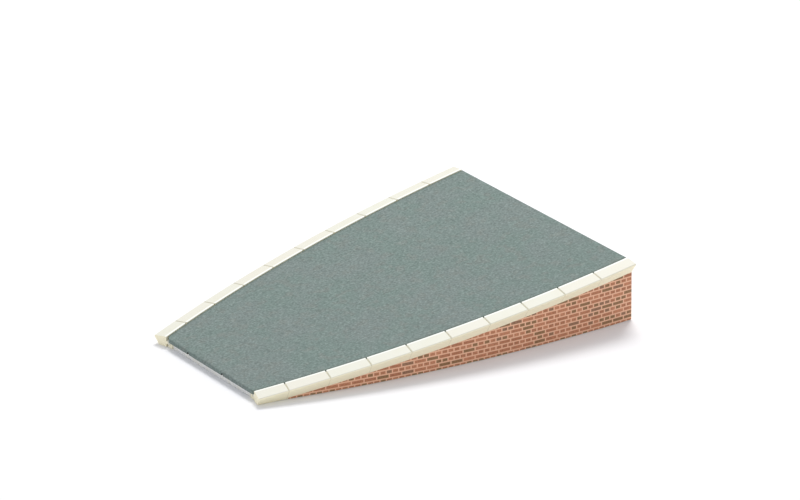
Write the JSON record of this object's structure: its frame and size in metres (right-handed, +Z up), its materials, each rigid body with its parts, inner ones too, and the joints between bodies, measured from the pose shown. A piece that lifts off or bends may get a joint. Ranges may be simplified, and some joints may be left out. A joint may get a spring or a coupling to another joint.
{
  "type": "model railway platform ramp",
  "caption": "Tapered ramp end for a model railway station platform, with a textured grey deck, cream coping and printed brick side walls.",
  "frame": {"origin": "on the ground under the middle of the whole object", "axes": "+X along the centreline to the tall end that butts against a platform, -X to the toe, -Y to the front side, +Z up"},
  "size_m": [0.0908, 0.0682, 0.0145],
  "materials": {
    "deck_grey": "fine sand texture, matt",
    "coping_cream": "smooth moulded, satin",
    "brick_print": "printed English-bond brickwork, matt"
  },
  "bodies": {
    "root": {"deck_panel": "deck_grey", "front_edging": "coping_cream", "rear_edging": "coping_cream", "front_brick_facing": "brick_print", "rear_brick_facing": "brick_print", "tall_end_wall": "coping_cream", "upper_rib": "coping_cream", "middle_rib": "coping_cream", "lower_rib": "coping_cream", "centre_spine": "coping_cream", "toe_bar": "coping_cream"}
  },
  "joints": []
}
